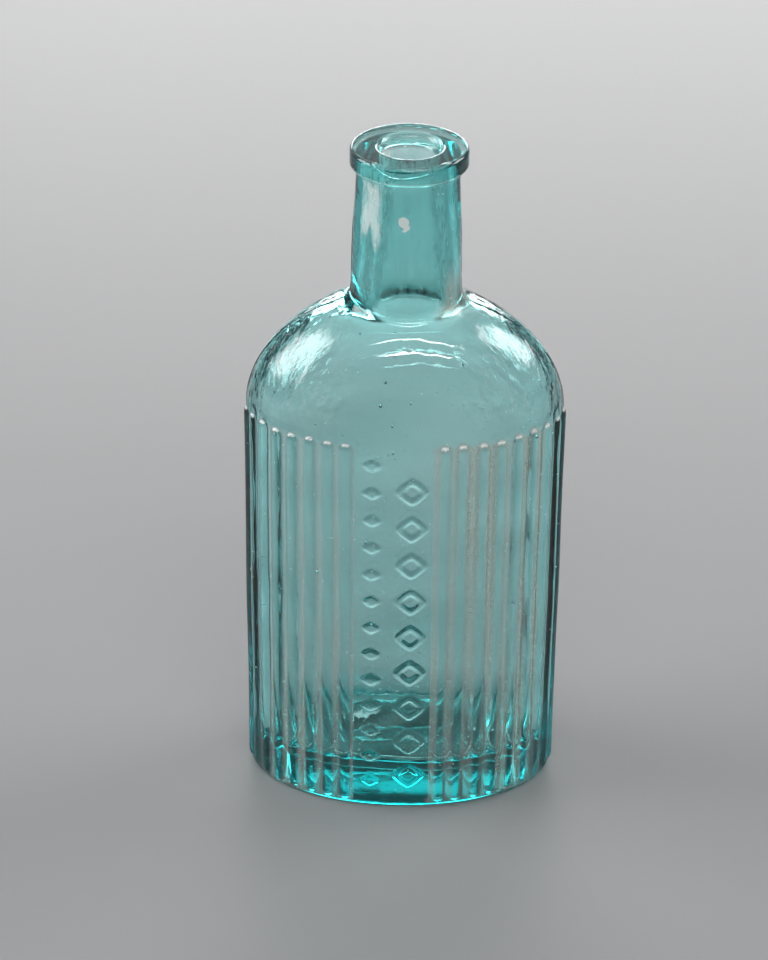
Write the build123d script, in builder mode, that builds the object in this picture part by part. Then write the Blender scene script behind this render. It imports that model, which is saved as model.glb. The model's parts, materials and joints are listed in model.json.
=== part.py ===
"""Oval ribbed medicine bottle in aqua glass, with an applied lip and an open mouth.

Frame: +Z up, origin at the centre of the resting face. -Y is the front, with its plain mark panel
between two fields of upright ribs. +Y is the plain back, left clear for a label.

Two pieces of glass make the bottle. bottle_body is blown in a mould: oval ribbed body, round
shoulders and tapering neck. lip_ring is a second gather of glass, laid over the end of the neck.
"""

from build123d import *

import os
from math import asin, cos, hypot, pi, sin, sqrt

# Driving dimensions, in millimetres
HEIGHT = 165.0
BODY_HALF_WIDTH = 37.2  # plain glass, without the ribs
BODY_HALF_DEPTH = 22.6
WALL = 3.0
HEEL_ROUND = 1.6  # outer edge round the resting face

# Shoulder: a dome of ellipses that closes from the oval body to the round neck
SHOULDER_START = 99.4
SHOULDER_RISE = 29.9  # height at which the dome would close completely
SHOULDER_SECTIONS = 9

# Neck
NECK_FOOT_R = 12.7
NECK_TOP_R = 11.7
NECK_FOOT_ROUND = 1.6
NECK_SWELL = 0.3  # outward swell half way up
NECK_END = 162.4  # sheared end of the neck, inside the lip

# Lip
LIP_R = 13.55
LIP_HEIGHT = 4.9
LIP_TOP_ROUND = 1.0
LIP_UNDER_ROUND = 1.2

# Bore and mouth: straight where it takes a cork, and wider towards the shoulder
BORE_R = 6.6
BORE_STRAIGHT = 12.0
BORE_FOOT_R = 8.3
MOUTH_R = 8.1
MOUTH_DEPTH = 2.2  # depth of the flare from the bore to the mouth
MOUTH_ARC_R = 2.7

# Inside of the body
FLOOR_THICKNESS = 7.0
FLOOR_ROUND = 8.0  # the glass is thick in the corner between wall and floor
SHOULDER_WALL = 3.0  # thickness at the top of the shoulder, under the neck
BORE_FOOT_STEP = 1.6  # how much wider the shoulder opens under the bore
BORE_FOOT_ROUND = 1.52

# Resting face: an oval push-up leaves a flat ring to stand on
PUSH_UP_DEPTH = 0.8
PUSH_UP_ROUND = 0.56
REST_RING = 5.0

# Upright ribs on the front half, in two fields beside the mark panel
RIB_HEIGHT = 0.8
RIB_WIDTH = 3.6
RIB_PITCH = 4.5  # along the oval
RIB_TOP = 101.0
RIB_BOTTOM = 0.9
LEFT_PANEL_EDGE = -13.4  # along the oval from the front centre to the first rib
RIGHT_PANEL_EDGE = 9.4
LEFT_RIBS = 8
RIGHT_RIBS = 9

# Raised marks on the panel: plain lozenges that can be felt in the dark
MARK_RELIEF = 0.5
LARGE_MARK_X = 2.1
LARGE_MARK_WIDTH = 7.6
LARGE_MARK_HEIGHT = 7.0
LARGE_MARK_STROKE = 1.1
LARGE_MARK_COUNT = 9
LARGE_MARK_PITCH = 9.9
LARGE_MARK_LOWEST = 9.4
SMALL_MARK_X = -7.2
SMALL_MARK_WIDTH = 5.2
SMALL_MARK_HEIGHT = 3.6
SMALL_MARK_COUNT = 13
SMALL_MARK_PITCH = 7.3
SMALL_MARK_LOWEST = 7.6

ARC_STEPS = 3600
NEAR = 0.01  # edges this close to a height lie at it
RIB_R = ((RIB_WIDTH / 2) ** 2 + RIB_HEIGHT**2) / (2 * RIB_HEIGHT)
LIP_START = HEIGHT - LIP_HEIGHT


def dome(z, half_width, half_depth, start, rise, neck_r):
    """Half width and half depth of the shoulder at height z."""
    wide = half_width * sqrt(max(0.0, 1 - ((z - start) / rise) ** 2))
    share = (wide - neck_r) / (half_width - neck_r)
    return wide, neck_r + (half_depth - neck_r) * share


def dome_top(half_width, start, rise, neck_r):
    """Height at which the dome is as narrow as the neck."""
    return start + rise * sqrt(1 - (neck_r / half_width) ** 2)


def shoulder(half_width, half_depth, start, rise, neck_r):
    """Solid dome from the oval at start to the circle of the neck."""
    steepest = asin(sqrt(1 - (neck_r / half_width) ** 2))
    with BuildPart() as solid:
        for i in range(SHOULDER_SECTIONS):
            z = start + rise * sin(steepest * i / (SHOULDER_SECTIONS - 1))
            wide, deep = dome(z, half_width, half_depth, start, rise, neck_r)
            with BuildSketch(Plane.XY.offset(z)):
                if i < SHOULDER_SECTIONS - 1:
                    Ellipse(wide, deep)
                else:
                    Circle(neck_r)
        loft()
    return solid.part


def oval_point(along):
    """Point and outward normal of the body's oval, a distance along it from the front centre."""
    sign = 1 if along >= 0 else -1
    turn = 0.0
    travelled = 0.0
    step = pi / 2 / ARC_STEPS
    while travelled < abs(along):
        travelled += hypot(BODY_HALF_WIDTH * cos(turn), BODY_HALF_DEPTH * sin(turn)) * step
        turn += step
    x = sign * BODY_HALF_WIDTH * sin(turn)
    y = -BODY_HALF_DEPTH * cos(turn)
    normal = Vector(x / BODY_HALF_WIDTH**2, y / BODY_HALF_DEPTH**2, 0).normalized()
    return Vector(x, y, 0), normal


def rib_centres():
    """Centres of the round ribs, sunk so that each stands out by its height."""
    left = [LEFT_PANEL_EDGE - i * RIB_PITCH for i in range(LEFT_RIBS)]
    right = [RIGHT_PANEL_EDGE + i * RIB_PITCH for i in range(RIGHT_RIBS)]
    centres = []
    for along in left + right:
        point, normal = oval_point(along)
        centres.append(point - normal * (RIB_R - RIB_HEIGHT))
    return centres


def ribs():
    """The upright ribs, with round ends."""
    centres = rib_centres()
    low = RIB_BOTTOM + RIB_R
    high = RIB_TOP - RIB_R
    with BuildPart() as solid:
        with BuildSketch(Plane.XY.offset(low)):
            with Locations(*centres):
                Circle(RIB_R)
        extrude(amount=high - low)
        for z in (low, high):
            with Locations(*[centre + Vector(0, 0, z) for centre in centres]):
                Sphere(RIB_R)
    return solid.part


def lozenge(width, height):
    """Points of an upright lozenge about the origin."""
    return [(-width / 2, 0), (0, height / 2), (width / 2, 0), (0, -height / 2)]


def marks():
    """The raised lozenges, as a layer that follows the front of the oval."""
    both_strokes = 3 * LARGE_MARK_STROKE  # what two slanting strokes take off the width and the height
    with BuildPart() as layer:
        with BuildSketch(Plane.XZ):
            for i in range(LARGE_MARK_COUNT):
                with Locations((LARGE_MARK_X, LARGE_MARK_LOWEST + i * LARGE_MARK_PITCH)):
                    Polygon(*lozenge(LARGE_MARK_WIDTH, LARGE_MARK_HEIGHT))
                    Polygon(
                        *lozenge(LARGE_MARK_WIDTH - both_strokes, LARGE_MARK_HEIGHT - both_strokes),
                        mode=Mode.SUBTRACT,
                    )
            for i in range(SMALL_MARK_COUNT):
                with Locations((SMALL_MARK_X, SMALL_MARK_LOWEST + i * SMALL_MARK_PITCH)):
                    Polygon(*lozenge(SMALL_MARK_WIDTH, SMALL_MARK_HEIGHT))
        extrude(amount=2 * BODY_HALF_DEPTH)
        with BuildSketch(Plane.XY):
            Ellipse(BODY_HALF_WIDTH + MARK_RELIEF, BODY_HALF_DEPTH + MARK_RELIEF)
        extrude(amount=SHOULDER_START, mode=Mode.INTERSECT)
    return layer.part


def neck():
    """Tapering neck, from inside the shoulder to its sheared end."""
    foot = dome_top(BODY_HALF_WIDTH, SHOULDER_START, SHOULDER_RISE, NECK_FOOT_R)
    middle = (foot + LIP_START) / 2
    swell_r = (NECK_FOOT_R + NECK_TOP_R) / 2 + NECK_SWELL
    with BuildPart() as solid:
        with BuildSketch(Plane.XZ):
            with BuildLine():
                Polyline((0, foot), (NECK_FOOT_R, foot))
                ThreePointArc((NECK_FOOT_R, foot), (swell_r, middle), (NECK_TOP_R, LIP_START))
                Polyline((NECK_TOP_R, LIP_START), (NECK_TOP_R, NECK_END), (0, NECK_END), (0, foot))
            make_face()
        revolve(axis=Axis.Z)
    return solid.part


def inside():
    """The space inside the bottle: body with a rounded floor, shoulder and bore."""
    wide = BODY_HALF_WIDTH - WALL
    deep = BODY_HALF_DEPTH - WALL
    rise = SHOULDER_RISE - SHOULDER_WALL
    opening_r = BORE_FOOT_R + BORE_FOOT_STEP
    top = dome_top(wide, SHOULDER_START, rise, opening_r)
    straight_from = HEIGHT - MOUTH_DEPTH - BORE_STRAIGHT
    with BuildPart() as space:
        with BuildSketch(Plane.XY.offset(FLOOR_THICKNESS)):
            Ellipse(wide, deep)
        extrude(amount=SHOULDER_START - FLOOR_THICKNESS)
        fillet(space.edges().group_by(Axis.Z)[0], radius=FLOOR_ROUND)
        add(shoulder(wide, deep, SHOULDER_START, rise, opening_r))
        with BuildSketch(Plane.XZ):
            bore_foot = [(0, top), (BORE_FOOT_R, top), (BORE_R, straight_from)]
            Polygon(*bore_foot, (BORE_R, HEIGHT), (0, HEIGHT), align=None)
        revolve(axis=Axis.Z)
        rings = space.edges().filter_by(GeomType.CIRCLE)
        rings = rings.filter_by_position(Axis.Z, top - NEAR, top + NEAR)
        fillet(rings.sort_by(SortBy.RADIUS)[0], radius=BORE_FOOT_ROUND)
    return space.part


def push_up():
    """The shallow oval hollow under the base."""
    with BuildPart() as space:
        with BuildSketch(Plane.XY):
            Ellipse(BODY_HALF_WIDTH - REST_RING, BODY_HALF_DEPTH - REST_RING)
        extrude(amount=PUSH_UP_DEPTH)
        fillet(space.edges().group_by(Axis.Z)[-1], radius=PUSH_UP_ROUND)
    return space.part


os.makedirs("parts", exist_ok=True)

with BuildPart() as bottle_body:
    with BuildSketch(Plane.XY):
        Ellipse(BODY_HALF_WIDTH, BODY_HALF_DEPTH)
    extrude(amount=SHOULDER_START)
    fillet(bottle_body.edges().group_by(Axis.Z)[0], radius=HEEL_ROUND)
    add(shoulder(BODY_HALF_WIDTH, BODY_HALF_DEPTH, SHOULDER_START, SHOULDER_RISE, NECK_FOOT_R))
    add(neck())
    foot = dome_top(BODY_HALF_WIDTH, SHOULDER_START, SHOULDER_RISE, NECK_FOOT_R)
    neck_foot = bottle_body.edges().filter_by_position(Axis.Z, foot - NEAR, foot + NEAR)
    fillet(neck_foot, radius=NECK_FOOT_ROUND)
    add(ribs())
    add(marks())
    add(inside(), mode=Mode.SUBTRACT)
    add(push_up(), mode=Mode.SUBTRACT)

with BuildPart() as lip_ring:
    with BuildSketch(Plane.XZ):
        with BuildLine():
            top_edge = LIP_R - LIP_TOP_ROUND
            under_edge = LIP_R - LIP_UNDER_ROUND
            seat = [(BORE_R, NECK_END), (NECK_TOP_R, NECK_END), (NECK_TOP_R, LIP_START)]
            Polyline(*seat, (under_edge, LIP_START))
            RadiusArc((under_edge, LIP_START), (LIP_R, LIP_START + LIP_UNDER_ROUND), -LIP_UNDER_ROUND)
            Line((LIP_R, LIP_START + LIP_UNDER_ROUND), (LIP_R, HEIGHT - LIP_TOP_ROUND))
            RadiusArc((LIP_R, HEIGHT - LIP_TOP_ROUND), (top_edge, HEIGHT), -LIP_TOP_ROUND)
            Line((top_edge, HEIGHT), (MOUTH_R, HEIGHT))
            RadiusArc((MOUTH_R, HEIGHT), (BORE_R, HEIGHT - MOUTH_DEPTH), -MOUTH_ARC_R)
            Line((BORE_R, HEIGHT - MOUTH_DEPTH), (BORE_R, NECK_END))
        make_face()
    revolve(axis=Axis.Z)

for label, piece in (("bottle_body", bottle_body), ("lip_ring", lip_ring)):
    piece.part.label = label
    export_step(piece.part, f"parts/{label}.step")
    print(label, "volume", round(piece.part.volume / 1000, 1), "ml")
print("inside volume to the brim", round(inside().volume / 1000, 1), "ml")
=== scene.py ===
"""Looks of the oval ribbed medicine bottle in aqua glass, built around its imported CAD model.

Both pieces of glass are closed meshes. Each is laid out flat, as rows along its section and columns
round the bottle, then wrapped to its shape, with ribs, marks and waves as relief along the normal.
Lengths are in millimetres until a mesh is made.
"""

import json
from math import ceil, pi, radians, sqrt

import bmesh
import bpy
import numpy as np
from mathutils import Matrix, Vector


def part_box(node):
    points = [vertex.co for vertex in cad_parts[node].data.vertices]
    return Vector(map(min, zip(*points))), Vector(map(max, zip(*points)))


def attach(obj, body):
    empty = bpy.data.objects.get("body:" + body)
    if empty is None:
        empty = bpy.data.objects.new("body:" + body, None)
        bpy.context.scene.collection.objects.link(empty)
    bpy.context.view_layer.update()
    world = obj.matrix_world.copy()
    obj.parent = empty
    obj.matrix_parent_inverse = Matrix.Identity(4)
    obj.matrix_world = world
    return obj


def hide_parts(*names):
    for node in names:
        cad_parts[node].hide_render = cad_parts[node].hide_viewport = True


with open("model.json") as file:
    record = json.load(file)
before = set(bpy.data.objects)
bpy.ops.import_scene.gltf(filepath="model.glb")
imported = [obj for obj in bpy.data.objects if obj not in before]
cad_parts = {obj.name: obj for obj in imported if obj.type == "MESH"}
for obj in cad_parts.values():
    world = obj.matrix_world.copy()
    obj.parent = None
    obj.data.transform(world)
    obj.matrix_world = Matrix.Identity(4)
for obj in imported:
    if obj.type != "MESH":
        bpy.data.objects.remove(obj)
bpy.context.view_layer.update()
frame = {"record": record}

MM = 0.001

# Sizes that the CAD model states
body_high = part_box("bottle_body")[1] / MM
lip_low, lip_high = (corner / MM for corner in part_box("lip_ring"))
bore = next(m for m in frame["record"]["mounts"] if m["name"] == "mouth_bore")
HEIGHT = lip_high.z
MIDDLE = HEIGHT / 2
HALF_DEPTH = body_high.y
NECK_END = body_high.z
LIP_START = lip_low.z
LIP_R = lip_high.x
BORE_R = bore["dims"]["r_mm"]
BORE_STRAIGHT_FROM = bore["pos_m"][2] / MM - bore["dims"]["length_mm"] / 2

# Body and shoulder
HALF_WIDTH = 37.2
WALL = 3.0
HEEL_ROUND = 1.6
REST_RING = 5.0
PUSH_UP = 0.8
FLOOR = 7.0
FLOOR_ROUND = 8.0
DOME_START = 99.4
DOME_RISE = 29.9
DOME_WALL = 3.0
NECK_FOOT_R = 12.7
NECK_TOP_R = 11.7
NECK_SWELL = 0.3
BORE_FOOT_R = 8.3
BORE_OPENING_R = 9.9
BORE_FOOT_STEP = 1.6

# Ribs, in two fields beside the panel
RIB_HEIGHT = 0.8
RIB_WIDTH = 3.6
RIB_PITCH = 4.5
RIB_TOP = 101.0
RIB_BOTTOM = 0.9
LEFT_RIB = -13.4
RIGHT_RIB = 9.4
LEFT_RIBS = 8
RIGHT_RIBS = 9
RIB_R = ((RIB_WIDTH / 2) ** 2 + RIB_HEIGHT**2) / (2 * RIB_HEIGHT)
PANEL_LEFT = LEFT_RIB + RIB_PITCH / 2
PANEL_RIGHT = RIGHT_RIB - RIB_PITCH / 2
FIELD_LEFT = PANEL_LEFT - LEFT_RIBS * RIB_PITCH
FIELD_RIGHT = PANEL_RIGHT + RIGHT_RIBS * RIB_PITCH

# Raised marks on the panel
MARK_RELIEF = 0.58
LARGE_MARK = {"x": 2.1, "lowest": 9.4, "pitch": 9.9, "count": 9, "width": 7.6, "height": 7.0}
SMALL_MARK = {"x": -7.2, "lowest": 7.6, "pitch": 7.3, "count": 13, "width": 5.2, "height": 3.6}
MARK_STROKE = 1.3
MARK_CORNER = 1.25  # 1 is a sharp lozenge, and 2 an oval

# Seams of the mould, up the two sides
SEAM_RELIEF = 0.14
SEAM_REACH = 0.26
SEAM_TOP = 152.0

# Lip
LIP_TOP_ROUND = 1.0
LIP_UNDER_ROUND = 1.2
MOUTH_R = 8.1
MOUTH_DEPTH = 2.2
LIP_SHIFT = 0.25  # the lip was laid and tooled a little off centre, and its mouth a little more
MOUTH_SHIFT = 0.45
FOLD = ((-40, 0), (-30, 0.3), (-18, 0.52), (-6, 0.55), (17, 0.36), (30, 0.22), (50, 0))  # see lip_relief
FUSED_GAP = 0.02  # keeps the two meshes apart where their glass is fused

SEEDS = 90  # tiny bubbles in the glass

# Wear, and painted highlights
BRUISE = (-0.6, -11.7, 151.0)  # white, on the front of the neck
NECK_HIGHLIGHT_FOOT = 145.0  # the painted white highlight on the left of the neck starts here
RESIDUE_END = 42.0  # distance round from the front where the residue of the grooves has faded out
NECK_FOOT_LINE = 128.6  # residue that lies round the foot of the neck

# Mesh: sizes of rows and columns, close where the surface bends
NECK_ROW = 1.1
BORE_ROW = 1.2
FINE_ROW = 0.35
BODY_ROW = 1.5
FINE_BELOW = 4.6
FINE_ABOVE = 96.1
DOME_ROWS = 56
INNER_DOME_ROWS = 40
INNER_WALL_ROWS = 30
RIB_COLUMN = RIB_PITCH / 6
PANEL_COLUMN = 1.2
BACK_COLUMN = 1.3
LIP_COLUMNS = 240

# Glass: share of red, green and blue light that passes each millimetre
PASSED_PER_MM = (0.897, 0.984, 0.985)
GLASS_IOR = 1.52
GLASS_COLOUR = (0.97, 1.0, 0.99, 1)
RESIDUE_COLOUR = (0.66, 0.58, 0.48, 1)
# white of the chalky marks, also used for the painted highlights
CHALK_AND_HIGHLIGHT_COLOUR = (0.86, 0.86, 0.84, 1)

# Camera: place in metres, downward tilt in degrees, turn about the bottle and roll in radians
CAMERA_PLACE = (-0.0047, -0.6031, 0.4207)
CAMERA_DOWN = 29.53
CAMERA_TURN = 0.012
CAMERA_ROLL = 0.010
LENS = 109.4

# Surroundings
FLOOR_COLOUR = (0.23, 0.23, 0.234, 1)
ROOM_COLOUR = (0.09, 0.093, 0.097, 1)
FLOOR_HALF = 3.0  # metres
FLOOR_GAP = 0.1


def add_node(tree, kind, inputs=None, **settings):
    """A new node with its settings and inputs, where an input is a value or another node's output."""
    made = tree.nodes.new(kind)
    for name, value in settings.items():
        setattr(made, name, value)
    for name, value in (inputs or {}).items():
        if isinstance(value, bpy.types.NodeSocket):
            tree.links.new(value, made.inputs[name])
        else:
            made.inputs[name].default_value = value
    return made


# ---------------------------------------------------------------- camera, lights and floor


def make_camera():
    """The camera of the picture: above and in front, with a long lens."""
    data = bpy.data.cameras.new("camera")
    data.sensor_width = 36
    data.lens = LENS
    data.clip_start = 0.01
    data.clip_end = 20
    camera = bpy.data.objects.new("camera", data)
    bpy.context.scene.collection.objects.link(camera)
    turn = Matrix.Rotation(CAMERA_TURN, 4, "Z")
    place = Matrix.Translation(CAMERA_PLACE)
    tilt = Matrix.Rotation(radians(90 - CAMERA_DOWN), 4, "X")
    roll = Matrix.Rotation(CAMERA_ROLL, 4, "Z")
    camera.matrix_world = turn @ place @ tilt @ roll
    bpy.context.scene.camera = camera


def studio_light(name, azimuth, elevation, distance, size, radiance):
    """A softbox with soft edges that faces the bottle, with its distance and size in metres.

    Azimuth 0 is in front, and 90 on the right.
    """
    data = bpy.data.lights.new(name, "AREA")
    data.shape = "RECTANGLE"
    data.size, data.size_y = size
    data.energy = radiance * pi * size[0] * size[1]
    data.use_nodes = True
    soften(data.node_tree)
    lamp = bpy.data.objects.new(name, data)
    aim = Matrix.Rotation(radians(azimuth), 4, "Z") @ Matrix.Rotation(radians(90 - elevation), 4, "X")
    out = Matrix.Translation((0, 0, distance))
    lamp.matrix_world = Matrix.Translation((0, 0, MIDDLE * MM)) @ aim @ out
    lamp.visible_camera = False
    bpy.context.scene.collection.objects.link(lamp)


def soften(tree):
    """Fades a lamp out towards its edges."""
    place = add_node(tree, "ShaderNodeNewGeometry").outputs["Parametric"]
    across = add_node(tree, "ShaderNodeSeparateXYZ", {0: place})
    strength = 1.0
    for axis in ("X", "Y"):
        off = add_node(tree, "ShaderNodeMath", {0: across.outputs[axis], 1: 0.5}, operation="SUBTRACT")
        far = add_node(tree, "ShaderNodeMath", {0: off.outputs[0]}, operation="ABSOLUTE")
        limits = {"Value": far.outputs[0], "From Min": 0.5, "From Max": 0.25}
        fade = add_node(tree, "ShaderNodeMapRange", limits, interpolation_type="SMOOTHSTEP")
        both = add_node(tree, "ShaderNodeMath", {0: fade.outputs[0], 1: strength}, operation="MULTIPLY")
        strength = both.outputs[0]
    tree.links.new(strength, tree.nodes["Emission"].inputs["Strength"])


def make_lights():
    """Softboxes beside and behind the bottle, thin strips from the front to overhead, and a dim room."""
    studio_light("softbox_left", -93, 28, 0.9, (0.76, 0.84), 7)
    studio_light("softbox_right", 110, 31, 0.9, (0.60, 0.62), 7)
    studio_light("softbox_back", 180, 17, 2.2, (2.6, 0.44), 7.8)
    studio_light("softbox_low", 180, 7, 1.2, (1.1, 0.2), 6)
    studio_light("softbox_high", 180, 42, 1.2, (1.2, 0.5), 1.2)
    studio_light("strip_front", 8, 34, 0.9, (0.9, 0.026), 46)
    studio_light("strip_high", 8, 50, 0.9, (1.1, 0.026), 46)
    studio_light("strip_top", 0, 84, 0.9, (0.9, 0.04), 16)
    world = bpy.data.worlds.new("studio")
    world.use_nodes = True
    world.node_tree.nodes["Background"].inputs["Color"].default_value = ROOM_COLOUR
    bpy.context.scene.world = world


def make_floor():
    """A plain pale floor, a hair under the resting face."""
    mesh = bpy.data.meshes.new("floor")
    sides = ((-1, -1), (1, -1), (1, 1), (-1, 1))
    corners = [(x * FLOOR_HALF, y * FLOOR_HALF, -FLOOR_GAP * MM) for x, y in sides]
    mesh.from_pydata(corners, [], [(0, 1, 2, 3)])
    floor = bpy.data.objects.new("floor", mesh)
    bpy.context.scene.collection.objects.link(floor)
    paint = bpy.data.materials.new("floor_paint")
    paint.use_nodes = True
    shader = paint.node_tree.nodes["Principled BSDF"]
    shader.inputs["Base Color"].default_value = FLOOR_COLOUR
    shader.inputs["Roughness"].default_value = 0.42
    shader.inputs["Specular IOR Level"].default_value = 0.26
    mesh.materials.append(paint)


# ---------------------------------------------------------------- shared shape helpers


def steps(start, end, size):
    """Even steps from start towards end, each at most size, without end itself."""
    count = max(1, ceil(abs(end - start) / size - 1e-9))
    return np.linspace(start, end, count + 1)[:-1]


def waves(points, amplitude, longest, shortest, count, seed):
    """A smooth random swell over points: waves of mixed lengths and directions."""
    rng = np.random.default_rng(seed)
    swell = np.zeros(len(points))
    for _ in range(count):
        direction = rng.normal(size=3)
        direction /= np.linalg.norm(direction)
        length = rng.uniform(shortest, longest)
        swell += np.sin(points @ direction * 2 * pi / length + rng.uniform(0, 2 * pi))
    return swell * amplitude / sqrt(count / 2)


def ease(value):
    """Smooth step from 0 to 1."""
    value = np.clip(value, 0, 1)
    return value * value * (3 - 2 * value)


def arc_table():
    """Distance along the body's oval from the front centre, against the angle round it."""
    angle = np.linspace(-pi, pi, 20001)
    run = np.hypot(HALF_WIDTH * np.cos(angle), HALF_DEPTH * np.sin(angle))
    along = np.concatenate([[0], np.cumsum((run[1:] + run[:-1]) / 2 * np.diff(angle))])
    return along - along[-1] / 2, angle


ALONG, ANGLE = arc_table()
HALF_ROUND = ALONG[-1]


# ---------------------------------------------------------------- body


def dome(half_width, half_depth, rise, top_r, rows):
    """Rings of the shoulder, closest at its foot, up to where it is as narrow as top_r."""
    steepest = np.arccos(top_r / half_width)
    turn = steepest * np.linspace(0, 1, rows) ** 1.25
    wide = half_width * np.cos(turn)
    deep = top_r + (half_depth - top_r) * (wide - top_r) / (half_width - top_r)
    return np.column_stack([wide, deep, DOME_START + rise * np.sin(turn)])


def oval_rings(inset, height):
    """Rings of the body's oval, drawn in by inset, at each height."""
    return np.column_stack([HALF_WIDTH - inset, HALF_DEPTH - inset, height])


def round_rings(radius, height):
    """Circular rings."""
    radius = np.broadcast_to(radius, np.shape(height))
    return np.column_stack([radius, radius, height])


def relax(rings, centre, reach, turns):
    """Rounds the section about one ring, by averaging it with its neighbours."""
    for _ in range(turns):
        part = slice(centre - reach, centre + reach)
        before = rings[centre - reach - 1 : centre + reach - 1]
        after = rings[centre - reach + 1 : centre + reach + 1]
        rings[part] = (before + 2 * rings[part] + after) / 4


def body_section():
    """Half width, half depth and height of every ring of the body, and where its parts begin.

    The rows run from the middle of the push-up, up the outside, over the end of the neck and down
    the inside to the middle of the floor.
    """
    parts = []
    begins = {}

    def add(name, rings):
        begins[name] = sum(len(p) for p in parts)
        parts.append(rings)

    share = np.linspace(0, 1, 12)[:-1]
    edge = np.array([[HALF_WIDTH - REST_RING, HALF_DEPTH - REST_RING, 0]])
    bowl = edge * share[:, None]
    bowl[:, 2] = PUSH_UP * (1 + np.cos(pi * share)) / 2
    add("push_up", bowl)
    add("rest", oval_rings(steps(REST_RING, HEEL_ROUND, 0.6), np.zeros(6)))
    turn = np.linspace(0, pi / 2, 8)[:-1]
    add("heel", oval_rings(HEEL_ROUND * (1 - np.sin(turn)), HEEL_ROUND * (1 - np.cos(turn))))
    low = steps(HEEL_ROUND, FINE_BELOW, FINE_ROW)
    middle = steps(FINE_BELOW, FINE_ABOVE, BODY_ROW)
    high = steps(FINE_ABOVE, DOME_START, FINE_ROW)
    height = np.concatenate([low, middle, high])
    add("body", oval_rings(np.zeros(len(height)), height))
    add("dome", dome(HALF_WIDTH, HALF_DEPTH, DOME_RISE, NECK_FOOT_R, DOME_ROWS))
    foot = parts[-1][-1, 2]
    height = steps(foot + 0.6, LIP_START, NECK_ROW)
    rise = (height - foot) / (LIP_START - foot)
    radius = NECK_FOOT_R + (NECK_TOP_R - NECK_FOOT_R) * rise + NECK_SWELL * 4 * rise * (1 - rise)
    add("neck", round_rings(radius, height))
    add("fused", round_rings(NECK_TOP_R, np.linspace(LIP_START, NECK_END, 4)))
    add("end", round_rings(np.linspace(NECK_TOP_R, BORE_R, 6)[1:], np.full(5, NECK_END)))
    inner_rise = DOME_RISE - DOME_WALL
    inner = dome(HALF_WIDTH - WALL, HALF_DEPTH - WALL, inner_rise, BORE_OPENING_R, INNER_DOME_ROWS)
    height = steps(NECK_END - 1.0, inner[-1, 2] + BORE_FOOT_STEP, BORE_ROW)
    radius = np.interp(height, [height[-1], BORE_STRAIGHT_FROM], [BORE_FOOT_R, BORE_R])
    add("bore", round_rings(radius, height))
    foot_r = np.linspace(BORE_FOOT_R, BORE_OPENING_R, 5)[:-1]
    add("bore_foot", round_rings(foot_r, inner[-1, 2] + 1.2 * np.linspace(1, 0.1, 4)))
    add("inner_dome", inner[::-1])
    height = np.linspace(DOME_START, FLOOR + FLOOR_ROUND, INNER_WALL_ROWS + 2)[1:-1]
    add("inner_wall", oval_rings(np.full(INNER_WALL_ROWS, WALL), height))
    turn = np.linspace(0, pi / 2, 12)
    inset = WALL + FLOOR_ROUND * (1 - np.cos(turn))
    add("floor_round", oval_rings(inset, FLOOR + FLOOR_ROUND * (1 - np.sin(turn))))
    share = np.linspace(1, 0, 10)[1:, None]
    centre = np.array([[0, 0, FLOOR]])
    add("floor", centre + (parts[-1][-1] - centre) * share)
    rings = np.concatenate(parts)
    relax(rings, begins["rest"], 3, 6)
    relax(rings, begins["neck"], 4, 12)
    relax(rings, begins["bore_foot"] + 2, 6, 8)
    begins["all"] = len(rings)
    return rings, begins


RINGS, BEGINS = body_section()


def body_point(along, row):
    """Points of the plain body for distances along its oval and rows of its section."""
    round_from_back = (along + HALF_ROUND) % (2 * HALF_ROUND)
    angle = np.interp(round_from_back, ALONG + HALF_ROUND, ANGLE)
    wide, deep, height = (np.interp(row, np.arange(len(RINGS)), RINGS[:, i]) for i in range(3))
    return np.column_stack([wide * np.sin(angle), -deep * np.cos(angle), height])


def normals(point, along, row, step):
    """Outward normals of a wrapped surface, from its slopes both ways."""
    across = point(along + step, row) - point(along - step, row)
    up = point(along, row + 0.5) - point(along, row - 0.5)
    normal = np.cross(across, up)
    length = np.linalg.norm(normal, axis=1)
    return normal / np.maximum(length, 1e-9)[:, None]


def make_ribs():
    """Centre, top and strength of each rib. A hand-cut mould leaves each one a little different."""
    rng = np.random.default_rng(11)
    left = LEFT_RIB - RIB_PITCH * np.arange(LEFT_RIBS)
    right = RIGHT_RIB + RIB_PITCH * np.arange(RIGHT_RIBS)
    centres = np.concatenate([left, right])
    centres = centres + rng.normal(0, 0.12, len(centres))
    tops = RIB_TOP + rng.normal(0, 0.2, len(centres))
    return list(zip(centres, tops, rng.uniform(0.93, 1.04, len(centres))))


RIBS = make_ribs()


def from_rib(along, height, centre, top):
    """Distance from the middle line of a rib, whose ends are round."""
    low = RIB_BOTTOM + RIB_R
    high = top - RIB_R
    past = np.maximum(0, np.maximum(low - height, height - high))
    return np.hypot(along - centre, past)


def rib_relief(along, height):
    """Height of the ribs over the plain oval."""
    relief = np.zeros(len(along))
    soft = 0.09
    for centre, top, strength in RIBS:
        away = from_rib(along, height, centre, top)
        rib = np.sqrt(np.maximum(RIB_R**2 - away**2, 0)) - (RIB_R - RIB_HEIGHT)
        rib = strength * (rib + np.sqrt(rib**2 + soft**2)) / 2
        relief = np.where(away < RIB_R, np.maximum(relief, rib), relief)
    return relief


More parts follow.
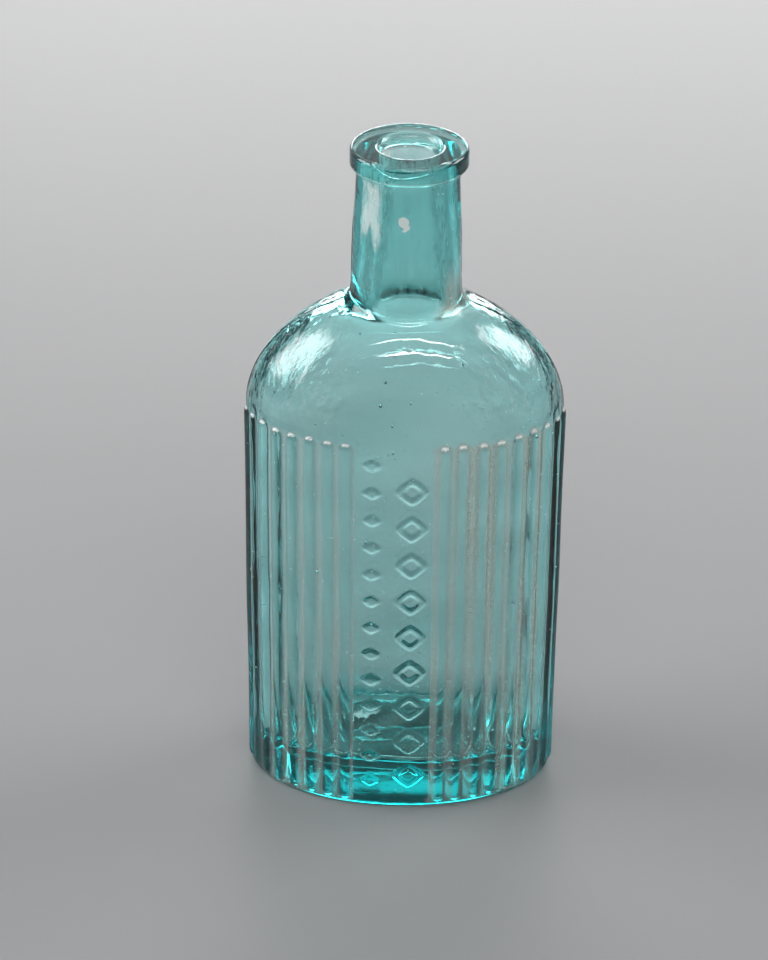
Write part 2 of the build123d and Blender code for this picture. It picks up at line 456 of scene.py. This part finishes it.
def mark_relief(along, height):
    """Relief of the two columns of lozenges: the large ones are outlines, the small ones solid."""
    relief = np.zeros(len(along))
    for mark, outlined in ((LARGE_MARK, True), (SMALL_MARK, False)):
        half_width, half_height = mark["width"] / 2, mark["height"] / 2
        index = np.clip(np.round((height - mark["lowest"]) / mark["pitch"]), 0, mark["count"] - 1)
        across = np.abs(along - mark["x"])
        up = np.abs(height - mark["lowest"] - index * mark["pitch"])
        size = (across / half_width) ** MARK_CORNER + (up / half_height) ** MARK_CORNER
        size = size ** (1 / MARK_CORNER)
        reach = half_width * half_height / np.hypot(half_width, half_height)
        inside = (1 - size) * reach
        if outlined:
            off = (inside - MARK_STROKE / 2) / (MARK_STROKE / 2)
            bead = np.sqrt(np.maximum(0, 1 - off**2))
        else:
            bead = ease(inside / 0.7)
        relief = np.maximum(relief, MARK_RELIEF * bead)
    return relief


def seam_relief(along, height):
    """Ridges where the two halves of the mould met, up both sides and fading out on the neck."""
    wander = 0.08 * np.sin(height * 0.21) + 0.05 * np.sin(height * 0.57 + 1)
    off = np.abs(along) - HALF_ROUND / 2 - wander
    fade = ease((height - HEEL_ROUND) / 2) * ease((SEAM_TOP - height) / 8)
    return SEAM_RELIEF * fade * np.exp(-((off / SEAM_REACH) ** 2))


def body_relief(along, row, points):
    """Distance that each point of the body moves along its normal."""
    outside = row < BEGINS["fused"]
    inside = row > BEGINS["bore"]
    standing = np.clip(points[:, 2] / 3, 0, 1)  # the resting face stays flat
    ribbed = (row > BEGINS["heel"]) & (row < BEGINS["dome"] + 20)
    relief = np.where(ribbed, rib_relief(along, points[:, 2]), 0)
    panel = (row > BEGINS["body"]) & (row < BEGINS["dome"])
    panel &= (along > PANEL_LEFT) & (along < PANEL_RIGHT)
    relief += np.where(panel, mark_relief(along, points[:, 2]), 0)
    relief += np.where(outside, standing * (waves(points, 0.05, 45, 16, 10, 3) - 0.11), 0)
    relief += np.where(outside, seam_relief(along, points[:, 2]), 0)
    middle = ease((row - BEGINS["bore"]) / 6) * ease((BEGINS["all"] - 1 - row) / 8)
    relief += np.where(inside, middle * waves(points, 0.17, 48, 14, 14, 5), 0)
    return relief


def column_positions():
    """Where the columns stand along the oval: closest on the seams and ribs, widest round the back."""
    seam = HALF_ROUND / 2 + 3 * SEAM_REACH
    return np.concatenate(
        [
            steps(-HALF_ROUND, -seam, BACK_COLUMN),
            steps(-seam, FIELD_LEFT, SEAM_REACH / 2),
            steps(FIELD_LEFT, PANEL_LEFT, RIB_COLUMN),
            steps(PANEL_LEFT, PANEL_RIGHT, PANEL_COLUMN),
            steps(PANEL_RIGHT, FIELD_RIGHT, RIB_COLUMN),
            steps(FIELD_RIGHT, seam, SEAM_REACH / 2),
            steps(seam, HALF_ROUND, BACK_COLUMN),
            [HALF_ROUND],
        ]
    )


def flat_grid(columns, rows):
    """A flat sheet of faces: x is the distance round, y the row."""
    sheet = bmesh.new()
    verts = [[sheet.verts.new((c, r, 0)) for c in columns] for r in range(rows)]
    for low, high in zip(verts, verts[1:]):
        for i in range(len(columns) - 1):
            sheet.faces.new((low[i], low[i + 1], high[i + 1], high[i]))
    return sheet


def refine(sheet, left, right, low, high, cuts, across_only=False):
    """Cuts the sheet's faces finer between two distances round and two rows."""
    margin = 1e-4
    found = []
    for edge in sheet.edges:
        (x0, y0, _), (x1, y1, _) = edge.verts[0].co, edge.verts[1].co
        within = min(x0, x1) > left - margin and max(x0, x1) < right + margin
        within &= min(y0, y1) > low - margin and max(y0, y1) < high + margin
        if within and not (across_only and abs(x1 - x0) < margin):
            found.append(edge)
    bmesh.ops.subdivide_edges(sheet, edges=found, cuts=cuts, use_grid_fill=True)


def add_seeds(sheet):
    """Tiny bubbles in the glass, as closed hollows whose faces look into them."""
    rng = np.random.default_rng(23)
    bubbles = bmesh.new()
    for _ in range(SEEDS):
        along = rng.uniform(-HALF_ROUND, HALF_ROUND, 1)
        top = rng.choice([BEGINS["neck"], BEGINS["fused"] - 4])
        row = rng.uniform(BEGINS["body"] + 4, top, 1)
        normal = normals(body_point, along, row, 0.3)[0]
        centre = body_point(along, row)[0] - normal * rng.uniform(0.9, 1.9)
        radius = rng.uniform(0.10, 0.30) * (1 if rng.uniform() < 0.9 else 1.7)
        stretch = Matrix.Diagonal((radius, radius, radius * rng.uniform(1, 2.2), 1)) * MM
        stretch[3][3] = 1
        place = Matrix.Translation(Vector(centre) * MM) @ stretch
        bmesh.ops.create_icosphere(bubbles, subdivisions=2, radius=1, matrix=place)
    bmesh.ops.reverse_faces(bubbles, faces=bubbles.faces)
    mesh = bpy.data.meshes.new("seeds")
    bubbles.to_mesh(mesh)
    bubbles.free()
    sheet.from_mesh(mesh)
    bpy.data.meshes.remove(mesh)


def wrap(sheet, point, relief, step):
    """Bends the flat sheet to its shape, and returns where its points were and are, for the masks."""
    flat = np.array([v.co[:2] for v in sheet.verts])
    along, row = flat[:, 0], flat[:, 1]
    places = point(along, row)
    places += normals(point, along, row, step) * relief(along, row, places)[:, None]
    for vert, place in zip(sheet.verts, places * MM):
        vert.co = place
    return along, row, places


def finish_piece(sheet, name, node, material):
    """Turns the sheet into a smooth closed mesh that rides on the body, and hides the CAD part that it
    stands in for.
    """
    bmesh.ops.remove_doubles(sheet, verts=sheet.verts, dist=1e-4 * MM)
    mesh = bpy.data.meshes.new(name)
    sheet.to_mesh(mesh)
    sheet.free()
    mesh.polygons.foreach_set("use_smooth", [True] * len(mesh.polygons))
    mesh.materials.append(material)
    piece = bpy.data.objects.new(name, mesh)
    bpy.context.scene.collection.objects.link(piece)
    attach(piece, "root")
    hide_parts(node)
    return piece


def mark_faces(sheet, name, low, high):
    """A face attribute that is 1 between two rows."""
    layer = sheet.faces.layers.float.new(name)
    for face in sheet.faces:
        face[layer] = float(low < face.calc_center_median().y < high)


def paint_verts(sheet, name, values):
    """A vertex attribute with these values."""
    layer = sheet.verts.layers.float.new(name)
    for vert, value in zip(sheet.verts, values):
        vert[layer] = value


def on_the_ribs(along, row):
    """Whether points are on the outside, in the two fields of ribs."""
    left = (along > FIELD_LEFT) & (along < PANEL_LEFT)
    right = (along > PANEL_RIGHT) & (along < FIELD_RIGHT)
    return (left | right) & (row < BEGINS["neck"])


def groove_residue(along, row, places):
    """How much dry residue could lie at each point: in the grooves, round the ribs' tops, at the neck."""
    height = places[:, 2]
    nearest = np.min([from_rib(along, height, centre, top) for centre, top, _ in RIBS], axis=0)
    groove = np.where(along > 0, ease((nearest - 0.4) / 1.0), ease((nearest - 1.0) / 0.6))
    groove *= ease((RIB_TOP - 0.5 - height) / 1.5) * ease(height / 2)
    left = 0.4 + 0.25 * ease((60 - height) / 20)
    groove *= np.where(along > 0, 0.75, left) * ease((RESIDUE_END - np.abs(along)) / 10)
    over = ease((nearest - 1.3) / 0.5) * ease((2.6 - nearest) / 0.6) * ease((height - RIB_TOP + 1) / 0.6)
    field = on_the_ribs(along, row) * np.maximum(groove, 0.8 * over * (along > 0))
    foot = np.exp(-(((height - NECK_FOOT_LINE) / 1.6) ** 2)) * ease((places[:, 0] - 5) / 5)
    side = ease((places[:, 0] - 8) / 2) * ease((height - 127) / 1.5) * ease((141 - height) / 9)
    neck = np.maximum(foot, 0.7 * side * (places[:, 1] < 0))
    return np.where(row < BEGINS["fused"], np.maximum(field, neck), 0)


def painted_tip_highlights(along, row, places):
    """Painted highlights: white crescents round the upper ends of the ribs, which stand proud."""
    highlights_and_haze = np.zeros(len(along))
    for centre, top, _ in RIBS:
        away = from_rib(along, places[:, 2], centre, top)
        above = places[:, 2] - (top - RIB_R)
        crescent = np.exp(-(((away - 1.5) / 0.28) ** 2))
        crescent *= ease((above - 1.1 * np.abs(along - centre)) / 0.6)
        highlights_and_haze = np.maximum(highlights_and_haze, crescent)
    return highlights_and_haze * on_the_ribs(along, row)


def neck_film_and_highlight(along, row, places):
    """The whitish film on the neck, thin all round inside, and a thick painted white highlight on the
    left, inside and out.
    """
    height = places[:, 2]
    inside = (row > BEGINS["bore"] - 1) & (row < BEGINS["bore_foot"])
    outside = (row > BEGINS["neck"]) & (row < BEGINS["fused"])
    turn = np.degrees(along / HALF_ROUND * pi)
    ragged = ease((height - NECK_HIGHLIGHT_FOOT - 2.2 * np.sin(turn * 0.21) - 1.4 * np.sin(turn * 0.5 + 1)) / 2.5)
    inner = ease((turn + 150) / 25) * ease((-38 - turn) / 14) * ragged
    outer = ease((turn + 67) / 7) * ease((-32 - turn) / 7) * ragged * ease((LIP_START + 1 - height) / 3)
    return np.where(inside, np.maximum(0.35, inner), np.where(outside, 0.65 * outer, 0))


def make_body(material):
    """The blown body: oval, ribs, marks, shoulder and neck, with its hollow inside."""
    columns = column_positions()
    sheet = flat_grid(columns, len(RINGS))
    body_rows = BEGINS["heel"] + 2, BEGINS["dome"] + 12
    refine(sheet, FIELD_LEFT, PANEL_LEFT, *body_rows, 1, across_only=True)
    refine(sheet, PANEL_RIGHT, FIELD_RIGHT, *body_rows, 1, across_only=True)
    refine(sheet, PANEL_LEFT, PANEL_RIGHT, BEGINS["body"] + 3, BEGINS["dome"] - 3, 3)
    mark_faces(sheet, "fused", BEGINS["fused"], BEGINS["bore"] - 1)
    along, row, places = wrap(sheet, body_point, body_relief, 0.3)
    paint_verts(sheet, "residue", groove_residue(along, row, places))
    # thin film inside the neck, and a painted white highlight on its left
    paint_verts(sheet, "film_and_highlight", neck_film_and_highlight(along, row, places))
    # painted highlights round the ribs' upper ends
    paint_verts(sheet, "highlights_and_haze", painted_tip_highlights(along, row, places))
    add_seeds(sheet)
    return finish_piece(sheet, "bottle_body_glass", "bottle_body", material)


# ---------------------------------------------------------------- lip


def lip_section():
    """Radius and height round the section of the lip, and where its parts begin."""
    parts = []
    begins = {}

    def add(name, radius, height):
        begins[name] = sum(len(p) for p in parts)
        shape = np.broadcast(np.asarray(radius), np.asarray(height)).shape
        parts.append(np.column_stack([np.broadcast_to(radius, shape), np.broadcast_to(height, shape)]))

    fine = 0.22
    seat = NECK_TOP_R + FUSED_GAP
    add("fused", steps(BORE_R, seat, 0.8), NECK_END + FUSED_GAP)
    add("fused_side", seat, steps(NECK_END + FUSED_GAP, LIP_START, 0.6))
    add("under", steps(seat, LIP_R - LIP_UNDER_ROUND, fine), LIP_START)
    turn = steps(0, pi / 2, 0.16)
    centre = LIP_R - LIP_UNDER_ROUND
    rise = LIP_UNDER_ROUND * (1 - np.cos(turn))
    add("under_round", centre + LIP_UNDER_ROUND * np.sin(turn), LIP_START + rise)
    add("band", LIP_R, steps(LIP_START + LIP_UNDER_ROUND, HEIGHT - LIP_TOP_ROUND, fine))
    centre = LIP_R - LIP_TOP_ROUND
    add("top_round", centre + LIP_TOP_ROUND * np.cos(turn), HEIGHT - LIP_TOP_ROUND * (1 - np.sin(turn)))
    add("top", steps(centre, MOUTH_R, 0.35), HEIGHT)
    turn = steps(0, pi / 2, 0.12)
    flare = MOUTH_R - BORE_R
    add("flare", BORE_R + flare * (1 - np.sin(turn)), HEIGHT - MOUTH_DEPTH * (1 - np.cos(turn)))
    add("bore", BORE_R, np.linspace(HEIGHT - MOUTH_DEPTH, NECK_END + FUSED_GAP, 3))
    return np.concatenate(parts), begins


LIP_RINGS, LIP_BEGINS = lip_section()


def lip_point(angle, row):
    """Points of the plain lip for angles round it and rows of its section."""
    radius, height = (np.interp(row, np.arange(len(LIP_RINGS)), LIP_RINGS[:, i]) for i in range(2))
    return np.column_stack([radius * np.sin(angle), -radius * np.cos(angle), height])


def lip_relief(angle, row, points):
    """The tooled lip is a little uneven, with the fold where the gather laps over itself.

    FOLD gives the fold's path: degrees round from the front, and the share of the lip's height down.
    """
    free = ease((row - LIP_BEGINS["under"]) / 3) * ease((LIP_BEGINS["bore"] - row) / 4)
    relief = np.minimum(waves(points, 0.04, 30, 12, 10, 31) - 0.08, 0)
    down = (HEIGHT - points[:, 2]) / (HEIGHT - LIP_START)
    turn = np.degrees(angle)
    path = np.interp(turn, *zip(*FOLD))
    ends = ease((turn + 42) / 6) * ease((52 - turn) / 12)
    off = (down - path) * (HEIGHT - LIP_START)
    outside = (row > LIP_BEGINS["under_round"]) & (row < LIP_BEGINS["top"])
    crease = -0.24 * np.exp(-((off / 0.22) ** 2)) + 0.16 * np.exp(-(((off + 0.45) / 0.3) ** 2))
    relief += np.where(outside, crease * ends, 0)
    return free * np.minimum(relief, 0.16 * ease((HEIGHT - points[:, 2]) / LIP_TOP_ROUND))


def lip_highlights_and_haze(angle, row):
    """Painted highlights along the two edges of the lip's band, the upper one in places, and a faint haze
    over the lip's top.
    """
    under = np.exp(-(((row - LIP_BEGINS["band"] + 3) / 1.2) ** 2))
    top = np.exp(-(((row - LIP_BEGINS["top_round"] - 4) / 1.0) ** 2))
    patchy = 0.5 + 0.3 * np.sin(3 * angle + 1) + 0.2 * np.sin(8 * angle)
    face = ease((row - LIP_BEGINS["top_round"] - 3) / 5) * ease((LIP_BEGINS["bore"] - row) / 5)
    return np.maximum(np.maximum(0.7 * under, 0.4 * patchy * top), 0.1 * face)


def off_centre(row, places):
    """How far each point of the lip shifts along X: not its seat on the neck, and the mouth most."""
    outer = ease((row - LIP_BEGINS["under"]) / 4)
    mouth = ease((row - LIP_BEGINS["top"]) / 10)
    free = (places[:, 2] > NECK_END + 0.3) | (row < LIP_BEGINS["top"])
    return np.where(free, outer * LIP_SHIFT + mouth * (MOUTH_SHIFT - LIP_SHIFT), 0)


def make_lip(material):
    """The applied lip, laid over the end of the neck."""
    sheet = flat_grid(np.linspace(-pi, pi, LIP_COLUMNS + 1), len(LIP_RINGS))
    mark_faces(sheet, "fused", -1, LIP_BEGINS["under"])
    angle, row, places = wrap(sheet, lip_point, lip_relief, 0.02)
    for vert, shift in zip(sheet.verts, off_centre(row, places)):
        vert.co.x += shift * MM
    # painted highlights on the edges of the lip's band, and haze on its top
    paint_verts(sheet, "highlights_and_haze", lip_highlights_and_haze(angle, row))
    return finish_piece(sheet, "lip_ring_glass", "lip_ring", material)


# ---------------------------------------------------------------- glass


class Graph:
    """Short names for the nodes of a material."""

    def __init__(self, tree):
        self.tree = tree
        self.place = self.add("ShaderNodeTexCoord").outputs["Object"]

    def add(self, kind, inputs=None, **settings):
        """A new node. An input is a value or another node's output."""
        return add_node(self.tree, kind, inputs, **settings)

    def math(self, operation, a, b=0.0):
        return self.add("ShaderNodeMath", {0: a, 1: b}, operation=operation).outputs[0]

    def vector(self, operation, a, b=(0, 0, 0)):
        return self.add("ShaderNodeVectorMath", {0: a, 1: b}, operation=operation)

    def most(self, *values):
        """The largest of several values."""
        largest = values[0]
        for value in values[1:]:
            largest = self.math("MAXIMUM", largest, value)
        return largest

    def product(self, *values):
        """Several values multiplied together."""
        total = values[0]
        for value in values[1:]:
            total = self.math("MULTIPLY", total, value)
        return total

    def remap(self, value, low, high, to_low=0.0, to_high=1.0):
        limits = {"Value": value, "From Min": low, "From Max": high, "To Min": to_low, "To Max": to_high}
        return self.add("ShaderNodeMapRange", limits).outputs["Result"]

    def mix(self, factor, a, b):
        mixed = self.add("ShaderNodeMix", {"Factor": factor, 6: a, 7: b}, data_type="RGBA")
        return mixed.outputs[2]

    def attribute(self, name):
        return self.add("ShaderNodeAttribute", attribute_name=name).outputs["Fac"]

    def noise(self, scale, detail, vector=None, roughness=0.5):
        inputs = {"Vector": vector or self.place, "Scale": scale, "Detail": detail, "Roughness": roughness}
        return self.add("ShaderNodeTexNoise", inputs).outputs["Fac"]

    def stretched(self, scale, turn=(0, 0, 0)):
        """Object coordinates scaled apart, so that a texture stretches into streaks."""
        inputs = {"Vector": self.place, "Scale": scale, "Rotation": turn}
        return self.add("ShaderNodeMapping", inputs).outputs["Vector"]

    def blob(self, centre, radii):
        """1 inside a ragged ellipsoid, given in millimetres."""
        middle = tuple(c * MM for c in centre)
        size = tuple(r * MM for r in radii)
        away = self.vector("SUBTRACT", self.place, middle).outputs[0]
        away = self.vector("DIVIDE", away, size).outputs[0]
        length = self.vector("LENGTH", away).outputs["Value"]
        ragged = self.math("ADD", length, self.remap(self.noise(1300, 3), 0, 1, -0.3, 0.3))
        return self.remap(ragged, 1.06, 0.94)


def streaky(graph, name, scale, low, high):
    """A painted mask broken up into upright streaks."""
    streaks = graph.noise(1.0, 3, graph.stretched(scale), 0.55)
    return graph.product(graph.attribute(name), graph.remap(streaks, low, high))


def bruise(graph):
    """The white comma-shaped bruise on the front of the neck."""
    x, y, z = BRUISE
    head = graph.blob((x - 0.14, y, z + 0.5), (1.2, 1.6, 1.25))
    belly = graph.blob((x + 0.5, y, z - 0.7), (0.8, 1.2, 0.9))
    tail = graph.blob((x, y, z - 1.6), (0.55, 1.2, 0.3))
    return graph.most(head, belly, tail)


def dust(graph):
    """Fine pale specks."""
    cells = graph.add("ShaderNodeTexVoronoi", {"Vector": graph.place, "Scale": 330.0}).outputs["Distance"]
    return graph.remap(cells, 0.07, 0.045)


def scratches(graph):
    """Fine scratches and scuffs in two directions."""
    upright = graph.noise(1.0, 2, graph.stretched((2600, 2600, 60), (0.5, 0.3, 0.2)))
    level = graph.noise(1.0, 2, graph.stretched((90, 2600, 2600), (0.2, 0.7, -0.4)))
    return graph.most(graph.remap(upright, 0.66, 0.72), graph.remap(level, 0.66, 0.72))


def shoulder_flow(graph):
    """Streaks in the glass of the shoulder, drawn out round it as it was blown, and where they are."""
    across = graph.add("ShaderNodeSeparateXYZ", {0: graph.place})
    x = across.outputs["X"]
    above = graph.math("SUBTRACT", across.outputs["Z"], DOME_START * MM)
    squares = graph.math("ADD", graph.product(x, x), graph.product(above, above))
    around = {
        "X": graph.product(graph.math("SQRT", squares), 420),
        "Y": graph.product(across.outputs["Y"], 120),
        "Z": graph.product(graph.math("ARCTAN2", above, x), 3.5),
    }
    streaks = graph.noise(1.0, 3, graph.add("ShaderNodeCombineXYZ", around).outputs[0])
    sides = graph.remap(graph.math("ABSOLUTE", x), 9 * MM, 20 * MM)
    return streaks, graph.product(sides, graph.remap(above, 0.0, 8 * MM))


def wear_and_highlights(graph, flow, drawn):
    """Dry residue, and everything that is chalky white: bruise, dust and the neck's film, and the painted
    highlights on the neck, the ribs' tips, the lip's edges and the shoulder's flow lines.
    """
    residue = streaky(graph, "residue", (210, 210, 15), 0.24, 0.58)
    film_and_highlight = streaky(graph, "film_and_highlight", (900, 900, 190), 0.3, 0.5)
    off_middle = graph.math("ABSOLUTE", graph.math("SUBTRACT", flow, 0.5))
    # painted highlights: thin white lines along the shoulder's flow streaks, at its sides
    highlight_lines = graph.product(graph.remap(off_middle, 0.012, 0.0), drawn, 0.25)
    specks = graph.product(dust(graph), 0.8)
    return residue, graph.most(bruise(graph), specks, film_and_highlight, graph.attribute("highlights_and_haze"), highlight_lines)


def roughness(graph, cover):
    """Polished glass with a patchy haze and scratches, and matt where it is covered."""
    haze = graph.remap(graph.noise(70, 5, roughness=0.65), 0.45, 0.75)
    rough = graph.math("ADD", graph.remap(haze, 0, 1, 0.015, 0.05), graph.product(scratches(graph), 0.1))
    return graph.math("ADD", rough, graph.product(cover, 0.35))


def ripples(graph, flow, drawn):
    """Fine relief of the surface: swell, streaks of the shoulder, upright wrinkles and pits."""
    swell = graph.math("ADD", graph.noise(170, 2), graph.product(flow, drawn, 7))
    wrinkles = graph.product(graph.noise(1.0, 2, graph.stretched((520, 520, 90))), 0.35)
    pits = graph.product(graph.noise(1100, 3), 0.06)
    height = graph.math("ADD", graph.math("ADD", swell, wrinkles), pits)
    return graph.add("ShaderNodeBump", {"Height": height, "Distance": 0.08 * MM}).outputs["Normal"]


def glass_material():
    """Aqua glass: clear where thin and teal where thick, with haze, scratches, dry residue and painted
    white highlights.
    """
    material = bpy.data.materials.new("aqua_glass")
    material.use_nodes = True
    tree = material.node_tree
    graph = Graph(tree)
    shader = tree.nodes["Principled BSDF"]
    flow, drawn = shoulder_flow(graph)
    residue, chalk_and_highlights = wear_and_highlights(graph, flow, drawn)
    fused = graph.attribute("fused")
    colour = graph.mix(residue, GLASS_COLOUR, RESIDUE_COLOUR)
    # whitens the chalky marks and paints the white highlights
    colour = graph.mix(chalk_and_highlights, colour, CHALK_AND_HIGHLIGHT_COLOUR)
    clear = graph.math("SUBTRACT", 1.0, graph.product(residue, 0.45))
    clear = graph.math("SUBTRACT", clear, graph.product(chalk_and_highlights, 0.75))
    rough = graph.product(roughness(graph, graph.most(residue, chalk_and_highlights)), graph.math("SUBTRACT", 1.0, fused))
    shader.inputs["IOR"].default_value = GLASS_IOR
    tree.links.new(colour, shader.inputs["Base Color"])
    tree.links.new(clear, shader.inputs["Transmission Weight"])
    tree.links.new(rough, shader.inputs["Roughness"])
    tree.links.new(graph.remap(fused, 0, 1, GLASS_IOR, 1.0), shader.inputs["IOR"])
    tree.links.new(ripples(graph, flow, drawn), shader.inputs["Normal"])

    taken = -np.log(PASSED_PER_MM) / MM
    tint = tuple(1 - taken / taken.max()) + (1,)
    volume = graph.add("ShaderNodeVolumeAbsorption", {"Color": tint, "Density": taken.max()})
    tree.links.new(volume.outputs["Volume"], tree.nodes["Material Output"].inputs["Volume"])
    return material


def set_picture():
    """Plain colours, and enough bounces for light that is caught in thick glass."""
    scene = bpy.context.scene
    scene.view_settings.view_transform = "Standard"
    scene.cycles.max_bounces = 32
    scene.cycles.transmission_bounces = 32
    scene.cycles.glossy_bounces = 12


set_picture()
make_camera()
make_lights()
make_floor()
aqua_glass = glass_material()
make_body(aqua_glass)
make_lip(aqua_glass)
